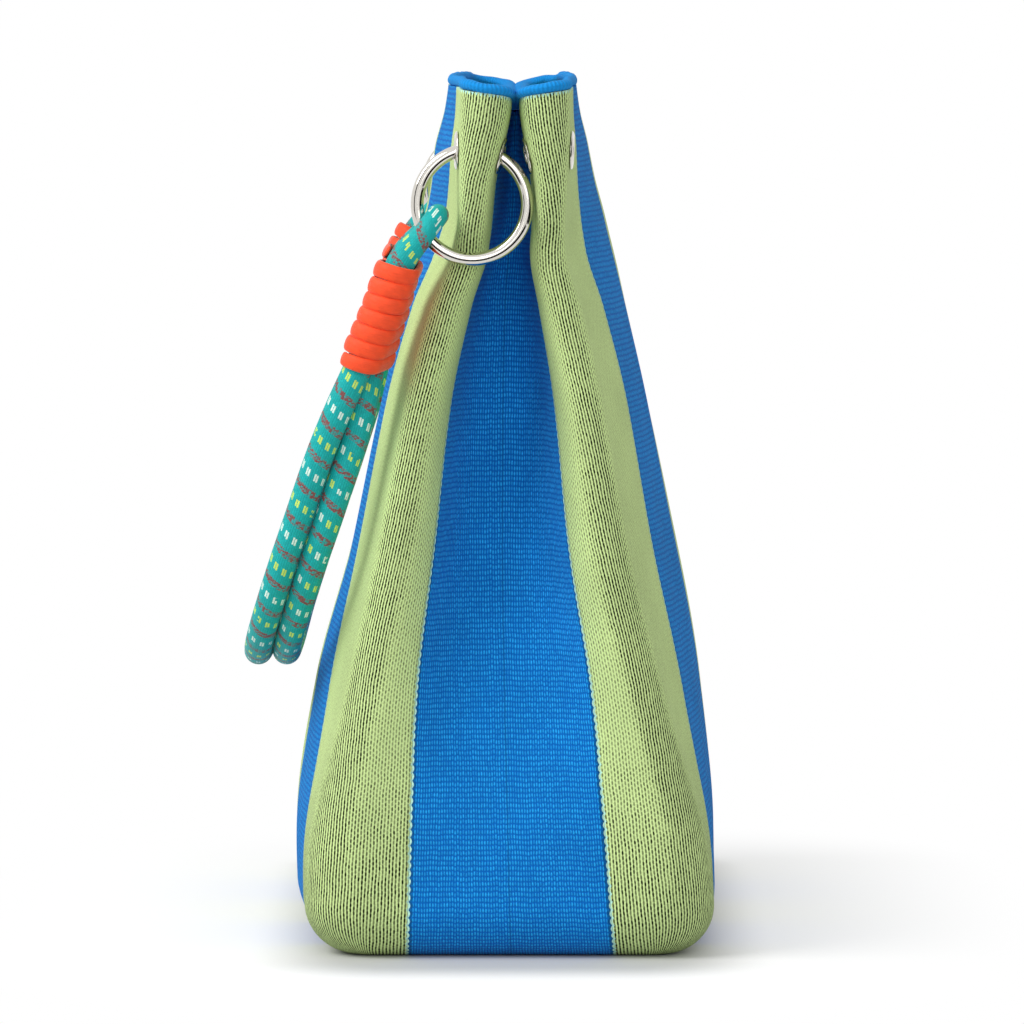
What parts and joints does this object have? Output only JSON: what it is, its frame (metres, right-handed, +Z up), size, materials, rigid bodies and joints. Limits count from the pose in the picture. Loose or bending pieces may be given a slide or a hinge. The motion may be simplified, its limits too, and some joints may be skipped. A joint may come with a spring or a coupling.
{
  "type": "knitted tote bag",
  "caption": "Knitted tote bag with wide stripes, tucked end gussets, a rolled rim, metal eyelets and a doubled rope handle that hangs on two rings.",
  "frame": {"origin": "middle of the base, on the surface that the bag stands on", "axes": "+X along the bag towards its right end, as seen from the handle side; -Y towards the face that carries the handle; +Z up"},
  "size_m": [0.3382, 0.1877, 0.34],
  "materials": {
    "blue_knit": "matte double knit",
    "green_knit": "matte double knit",
    "rim_binding": "matte rolled knit",
    "nickel": "polished nickel plate",
    "teal_rope": "braided synthetic rope",
    "orange_cord": "ribbed flat cord",
    "base_board": "matte sheet"
  },
  "bodies": {
    "bag": {"band_front_right_green": "green_knit", "band_front_left_green": "green_knit", "band_back_left_green": "green_knit", "band_back_right_green": "green_knit", "gusset_right_blue": "blue_knit", "gusset_left_blue": "blue_knit", "front_right_blue": "blue_knit", "front_middle_green": "green_knit", "front_left_blue": "blue_knit", "back_right_blue": "blue_knit", "back_middle_green": "green_knit", "back_left_blue": "blue_knit", "rim_binding": "rim_binding", "base_panel": "blue_knit", "base_board": "base_board", "eyelet_outer_front_right": "nickel", "eyelet_inner_front_right": "nickel", "eyelet_outer_front_left": "nickel", "eyelet_inner_front_left": "nickel", "eyelet_outer_back_left": "nickel", "eyelet_inner_back_left": "nickel", "eyelet_outer_back_right": "nickel", "eyelet_inner_back_right": "nickel", "washer_outer_front_right": "nickel", "washer_inner_front_right": "nickel", "washer_outer_front_left": "nickel", "washer_inner_front_left": "nickel", "washer_outer_back_left": "nickel", "washer_inner_back_left": "nickel", "washer_outer_back_right": "nickel", "washer_inner_back_right": "nickel"},
    "ring_right": {"ring_right": "nickel"},
    "ring_left": {"ring_left": "nickel"},
    "handle": {"handle_rope": "teal_rope", "whipping_right": "orange_cord", "whipping_left": "orange_cord"}
  },
  "joints": [
    {"name": "ring_turn_right", "type": "hinge", "parent": "bag", "child": "ring_right", "pos_m": [0.1529, -0.0148, 0.2908], "axis": [-1, 0, 0], "range_deg": [0, 55]},
    {"name": "ring_turn_left", "type": "hinge", "parent": "bag", "child": "ring_left", "pos_m": [-0.1529, -0.0148, 0.2908], "axis": [-1, 0, 0], "range_deg": [0, 55]},
    {"name": "handle_pivot", "type": "hinge", "parent": "ring_right", "child": "handle", "pos_m": [0.1529, -0.03299, 0.2803], "axis": [-1, 0, 0], "range_deg": [0, 48]}
  ],
  "couplings": [
    {"joint": "ring_turn_left", "follows": "ring_turn_right", "ratio": 1}
  ]
}
